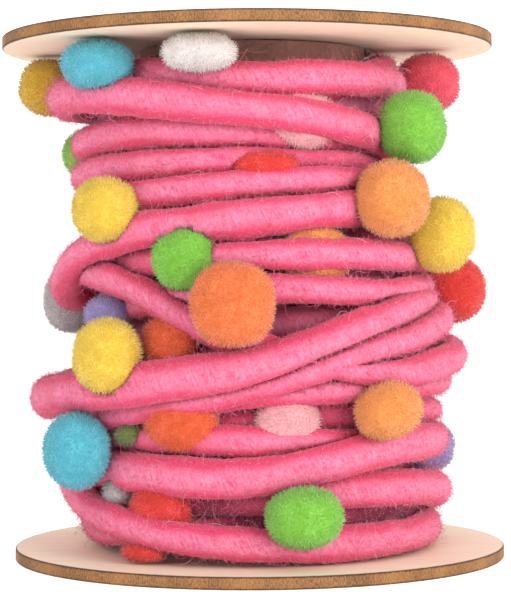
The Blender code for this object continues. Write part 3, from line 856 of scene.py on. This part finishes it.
class ROLL_OT_inner_layer(bpy.types.Operator):
    """Winds the even layer of cord that lies on the core"""
    bl_idname = "roll.inner_layer"
    bl_label = "Inner layer"
    STEPS = 72
    SIDES = 10
    INNER_PAINTED_SHADE = 0.55                # painted shade: share of brightness the layer's pinks keep, over the outer turns, for the shade it lies in beneath them

    def reach_beneath(self, at, up):
        """Distance from the axis to the layer's outer side, under the outer turns that lie nearest."""
        bearing = (at + 180.0) % 360.0 - 180.0
        round_axis = bearing + 360.0 * np.arange(len(TURNS))
        heights, reaches = turn_height(round_axis), turn_reach(round_axis)
        order = np.argsort(heights)
        swell = 0.0
        for place in SWELLS:
            off = ((bearing - place.bearing) / SWELL_SPAN) ** 2 + ((up / MM - place.height) / SWELL_RISE) ** 2
            swell = max(swell, place.more * MM * math.exp(-off ** 2))
        return max(INNER_REACH + swell, np.interp(up, heights[order], reaches[order]) - INNER_DEPTH)

    def execute(self, context):
        settings = context.scene.roll_cord
        turns = (INNER_HIGH - INNER_LOW) / INNER_PITCH
        at = np.linspace(0.0, 360.0 * turns, int(self.STEPS * turns))
        up = INNER_LOW + INNER_PITCH * at / 360.0 + settings.lumps * wander(at, 31.0, 7.0)
        angles = math.pi + math.tau * np.arange(self.SIDES) / self.SIDES
        reach = np.array([self.reach_beneath(a, z) for a, z in zip(at, up)])
        reach += settings.lumps * wander(at, 19.0, 9.0)
        deep = (reach - CORE_RADIUS - DISC_CLEARANCE) / 2
        radii = (reach - deep)[:, None] + deep[:, None] * np.cos(angles)[None, :]
        heights = up[:, None] + INNER_HALF * np.sin(angles)[None, :]
        points = polar_points(at[:, None], radii, heights)
        keep_in_spool(points)
        mesh = tube_mesh("cord_inner", points, angles, np.zeros(radii.shape), np.zeros(len(radii)))
        finish = wool("wool_inner", settings, self.INNER_PAINTED_SHADE)
        hand_over(add_object("cord_inner", mesh, finish), "cord", "winding")
        return {"FINISHED"}


def shown_faces(name, shown_radius, least_squeeze):
    """A copy of the cord's skin that shows, as a new mesh, and of that only what is squeezed enough."""
    bm = bmesh.new()
    bm.from_mesh(bpy.data.objects["cord"].data)
    middles = np.array([face.calc_center_median() for face in bm.faces])
    normals = np.array([face.normal for face in bm.faces])
    radius = np.hypot(middles[:, 0], middles[:, 1])
    facing = (normals[:, :2] * middles[:, :2]).sum(axis=1)
    hidden = (radius < shown_radius) | (facing < 0.0)
    layer = bm.verts.layers.float["squeeze"]
    squeeze = np.array([sum(v[layer] for v in face.verts) / len(face.verts) for face in bm.faces])
    hidden |= squeeze < least_squeeze
    for ball in BALLS:
        hidden |= inside(ball, middles, BARE_RING)
    bmesh.ops.delete(bm, geom=[f for f, h in zip(bm.faces[:], hidden) if h], context="FACES")
    return mesh_of(bm, name)


class ROLL_OT_cord_fuzz(bpy.types.Operator):
    """Lets short fibres and longer stray hairs stand off the cord"""
    bl_idname = "roll.cord_fuzz"
    bl_label = "Fuzz on the cord"
    SHOWN_RADIUS = 27.0 * MM
    ANYWHERE = -1.0             # less than any squeeze
    MEETING = 0.06              # squeeze from which two turns meet, where the wisps grow
    MOST = 5e6                  # fibres on a square metre
    OWN = ("Spacing", "Length", "Width")

    def execute(self, context):
        settings = context.scene.roll_cord
        pale = stray_wool("stray_wool", settings.deep, settings.hair)
        full = stray_wool("stray_wisps", settings.flank, settings.light)
        fibres, hairs = fibre_tree(), hair_tree()
        for name, kind, (tree, names), finish, least_squeeze, lean, seed in (
                ("cord_fuzz", "fuzz", fibres, pale, self.ANYWHERE, 75, 11),
                ("cord_hairs", "hair", hairs, pale, self.ANYWHERE, 55, 23),
                ("cord_wisps", "wisp", hairs, full, self.MEETING, 80, 41)):
            piece = add_object(name, shown_faces(name, self.SHOWN_RADIUS, least_squeeze), finish)
            own = {part: getattr(settings, f"{kind}_{part.lower()}") for part in self.OWN}
            grow(piece, tree, names, {
                **own, "Most": self.MOST, "Lean": math.radians(lean), "Seed": seed, "Finish": finish})
            hand_over(piece, "cord")
        return {"FINISHED"}


class ROLL_OT_core_curls(bpy.types.Operator):
    """Leaves loose loops of wool on the part of the core that shows"""
    bl_idname = "roll.core_curls"
    bl_label = "Curls on the core"
    LOW = 96.0 * MM
    SIDES = 48
    MOST = 1e6                  # curls on a square metre
    WIDTH = 0.05 * MM
    CROWDING = 0.8              # spacing over the mean distance between curls
    LEAN = 50                   # degrees
    SEED = 5

    def execute(self, context):
        settings = context.scene.roll_spool
        bm = bmesh.new()
        bmesh.ops.create_cone(bm, segments=self.SIDES, radius1=CORE_RADIUS, radius2=CORE_RADIUS,
                              depth=CEILING - self.LOW)
        bmesh.ops.translate(bm, verts=bm.verts, vec=(0, 0, (CEILING + self.LOW) / 2))
        area = sum(face.calc_area() for face in bm.faces)
        finish = stray_wool("stray_curls", settings.card_light, settings.curl)
        piece = add_object("core_curls", mesh_of(bm, "core_curls"), finish)
        tree, names = curl_tree()
        grow(piece, tree, names, {
            "Spacing": self.CROWDING * math.sqrt(area / settings.curls), "Most": self.MOST,
            "Width": self.WIDTH, "Lean": math.radians(self.LEAN), "Seed": self.SEED, "Finish": finish})
        hand_over(piece, "cord")
        return {"FINISHED"}


class ROLL_OT_pompoms(bpy.types.Operator):
    """Makes every pompom: a lumpy ball of yarn with its clipped pile"""
    bl_idname = "roll.pompoms"
    bl_label = "Pompoms"
    BROAD_RELIEF = 0.05
    FINE_RELIEF = 0.025
    MOST = 3e7                  # fibres on a square metre
    FIRST_SEED = 100

    def ball_mesh(self, ball, number, share):
        """The ball under the pile, in the pompom's own place and shape."""
        bm = bmesh.new()
        bmesh.ops.create_icosphere(bm, subdivisions=4, radius=1.0)
        lane = Vector((7.3 * number, 3.1 * number, 1.7 * number))
        for vertex in bm.verts:
            way = vertex.co.copy()
            fuller = sum(abs(c) ** FULLNESS for c in way) ** (-1 / FULLNESS)
            relief = self.BROAD_RELIEF * noise.noise(way * 1.7 + lane)
            relief += self.FINE_RELIEF * noise.noise(way * 5 + lane)
            own = np.array(way) * ball.half * (fuller * share * (1 + relief))
            vertex.co = Vector(ball.place + ball.axes @ own)
        return mesh_of(bm, ball.node)

    def execute(self, context):
        settings = context.scene.roll_pompoms
        tree, names = fibre_tree()
        finishes = {}
        for number, ball in enumerate(BALLS):
            slot_name = NODE_SLOTS[ball.node]
            if slot_name not in finishes:
                finishes[slot_name] = yarn_pile(slot_name)
            name = ball.node.replace("pompom_", "ball_")
            mesh = self.ball_mesh(ball, number, settings.core_share)
            piece = add_object(name, mesh, finishes[slot_name])
            grow(piece, tree, names, {
                "Spacing": settings.spacing, "Most": self.MOST, "Length": settings.pile,
                "Width": settings.fibre_width, "Lean": settings.lean, "Seed": self.FIRST_SEED + number,
                "Keep": True, "Finish": finishes[slot_name]})
            hand_over(piece, slot_name, ball.node)
        return {"FINISHED"}


Lamp = namedtuple("Lamp", "name place size tint")


class ROLL_OT_stage(bpy.types.Operator):
    """Sets the paper sweep, the soft lights and the camera"""
    bl_idname = "roll.stage"
    bl_label = "Stage"
    WIDTH = 3.0
    FRONT = -1.2
    BACK = 0.75
    BEND = 0.3
    TOP = 1.6
    BEND_STEPS = 12
    DROP = 0.05 * MM            # how far the paper lies below the lower disc
    KEY = Lamp("key", (0.52, -0.62, 0.24), 0.5, (1.0, 0.98, 0.96))
    FILL = Lamp("fill", (-0.62, -0.60, 0.16), 0.6, (0.97, 0.98, 1.0))
    AIM = (0.0, 0.0, 0.05)

    def add_sweep(self, settings):
        """Paper that lies as the floor and curves up into the backdrop."""
        profile = [(self.FRONT, 0.0), (self.BACK, 0.0)]
        for i in range(1, self.BEND_STEPS + 1):
            turned = math.pi / 2 * i / self.BEND_STEPS
            profile.append((self.BACK + self.BEND * math.sin(turned), self.BEND * (1 - math.cos(turned))))
        profile.append((self.BACK + self.BEND, self.TOP))
        points = [(side, y, z - self.DROP) for y, z in profile for side in (-self.WIDTH / 2, self.WIDTH / 2)]
        faces = [(2 * i, 2 * i + 1, 2 * i + 3, 2 * i + 2) for i in range(len(profile) - 1)]
        mesh = bpy.data.meshes.new("paper_sweep")
        mesh.from_pydata(points, [], faces)
        finish, _, shader = new_finish("paper", roughness=0.9, specular=0.0)
        shader.inputs["Base Color"].default_value = (*settings.floor, 1.0)
        shader.inputs["Emission Color"].default_value = (1.0, 1.0, 1.0, 1.0)
        shader.inputs["Emission Strength"].default_value = settings.glow
        add_object("paper_sweep", mesh, finish)

    def add_lamp(self, row, power):
        lamp = bpy.data.lights.new(row.name, "AREA")
        lamp.shape = "DISK"
        lamp.size = row.size
        lamp.energy = power
        lamp.color = row.tint
        made = linked(row.name, lamp)
        made.location = row.place
        aim = Vector(self.AIM) - Vector(row.place)
        made.rotation_euler = aim.to_track_quat("-Z", "Y").to_euler()

    def add_camera(self):
        """The camera of the picture, from its place, its three turns and its focal length."""
        turned = (Matrix.Rotation(CAMERA_ROLL, 3, "Y") @ Matrix.Rotation(CAMERA_PITCH, 3, "X")
                  @ Matrix.Rotation(CAMERA_YAW, 3, "Z"))
        right, forward, above = turned.col
        lens = bpy.data.cameras.new("camera")
        lens.sensor_width = SENSOR
        lens.lens = FOCAL_PIXELS * SENSOR / IMAGE_HEIGHT
        lens.clip_start = 0.01
        camera = linked("camera", lens)
        facing = Matrix((right, above, -forward)).transposed().to_4x4()
        camera.matrix_world = Matrix.Translation(CAMERA_PLACE) @ facing
        bpy.context.scene.camera = camera

    def execute(self, context):
        settings = context.scene.roll_stage
        self.add_camera()
        self.add_sweep(settings)
        self.add_lamp(self.KEY, settings.key)
        self.add_lamp(self.FILL, settings.fill)
        world = bpy.data.worlds.new("soft_light")
        world.use_nodes = True
        background = world.node_tree.nodes["Background"]
        background.inputs["Color"].default_value = (1.0, 1.0, 1.0, 1.0)
        background.inputs["Strength"].default_value = settings.sky
        context.scene.world = world
        context.scene.view_settings.view_transform = "Standard"
        return {"FINISHED"}


class VIEW3D_PT_roll(bpy.types.Panel):
    """Lists the roll's settings and operators"""
    bl_label = "Roll of pompom trim"
    bl_space_type = "VIEW_3D"
    bl_region_type = "UI"
    bl_category = "Pompom Trim"

    def draw(self, context):
        for group, operators in PANEL_ROWS:
            box = self.layout.box()
            settings = getattr(context.scene, group)
            for name in settings.bl_rna.properties.keys():
                if name not in ("rna_type", "name"):
                    box.prop(settings, name)
            for operator in operators:
                box.operator(operator.bl_idname)


PANEL_ROWS = (
    ("roll_stage", (ROLL_OT_stage,)),
    ("roll_spool", (ROLL_OT_spool, ROLL_OT_core_curls)),
    ("roll_cord", (ROLL_OT_inner_layer, ROLL_OT_cord, ROLL_OT_cord_fuzz)),
    ("roll_pompoms", (ROLL_OT_pompoms,)),
)
SETTINGS = {"roll_spool": RollSpoolSettings, "roll_cord": RollCordSettings,
            "roll_pompoms": RollPompomSettings, "roll_stage": RollStageSettings}
CLASSES = (*SETTINGS.values(), *(operator for _, row in PANEL_ROWS for operator in row), VIEW3D_PT_roll)


def register():
    for entry in CLASSES:
        bpy.utils.register_class(entry)
    for name, group in SETTINGS.items():
        setattr(bpy.types.Scene, name, PointerProperty(type=group))


def unregister():
    for name in SETTINGS:
        delattr(bpy.types.Scene, name)
    for entry in reversed(CLASSES):
        bpy.utils.unregister_class(entry)


def main():
    register()
    bpy.ops.roll.stage()
    bpy.ops.roll.spool()
    bpy.ops.roll.inner_layer()
    bpy.ops.roll.cord()
    bpy.ops.roll.cord_fuzz()
    bpy.ops.roll.core_curls()
    bpy.ops.roll.pompoms()


if __name__ == "__main__":
    main()
